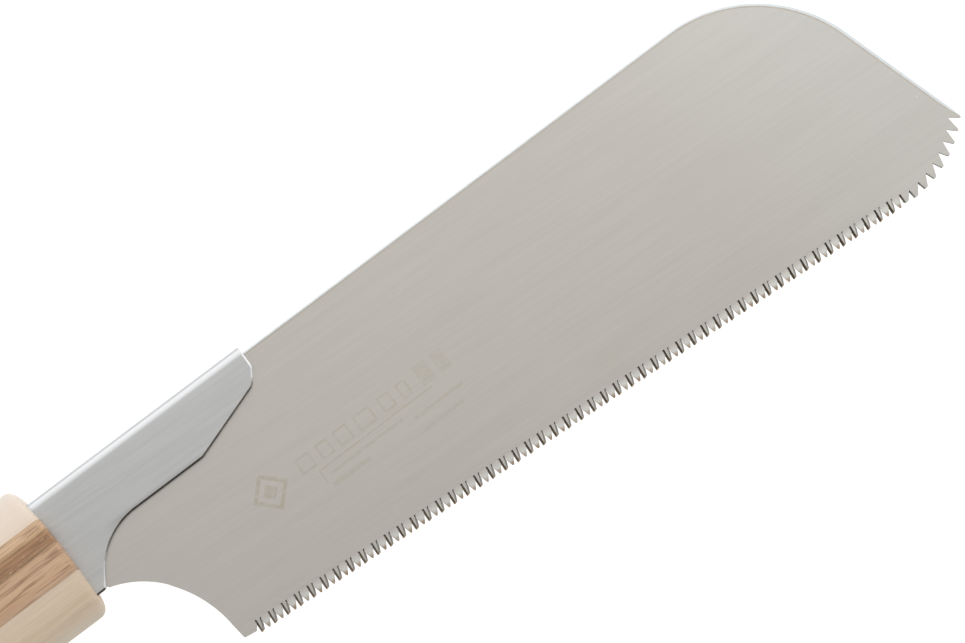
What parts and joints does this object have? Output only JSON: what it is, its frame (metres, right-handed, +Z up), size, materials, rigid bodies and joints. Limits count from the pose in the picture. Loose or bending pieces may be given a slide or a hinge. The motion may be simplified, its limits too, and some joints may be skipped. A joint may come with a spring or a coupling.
{
  "type": "pull saw",
  "caption": "Pull saw with a thin swing-out blade held in a folded steel back holder on a straight laminated wooden handle, lying on its side.",
  "frame": {"origin": "centre of the saw's footprint as it lies on its side, on the surface it lies on", "axes": "+X from the handle to the blade's toe, +Y from the teeth to the blade's back, +Z up through the thickness"},
  "size_m": [0.448, 0.0646, 0.023],
  "materials": {
    "blade_steel": "satin, fine streaks along the blade, browned tooth points",
    "holder_steel": "brushed along its length",
    "hook_pin_steel": "plain drawn wire",
    "tang_pin_front_steel": "plain drawn wire",
    "tang_pin_rear_steel": "plain drawn wire",
    "pale_wood_top": "sanded, lightly sealed",
    "brown_wood_core": "sanded, lightly sealed",
    "pale_wood_bottom": "sanded, lightly sealed"
  },
  "bodies": {
    "handle_assembly": {"handle_lamina_core": "brown_wood_core", "handle_lamina_top": "pale_wood_top", "handle_lamina_bottom": "pale_wood_bottom", "blade_holder": "holder_steel", "hook_pin": "hook_pin_steel", "tang_pin_front": "tang_pin_front_steel", "tang_pin_rear": "tang_pin_rear_steel"},
    "blade": {"blade": "blade_steel"}
  },
  "joints": [
    {"name": "blade_swing", "type": "hinge", "parent": "handle_assembly", "child": "blade", "pos_m": [0.02296, 0.00714, 0.0115], "axis": [0, 0, -1], "range_deg": [0, 22]}
  ]
}
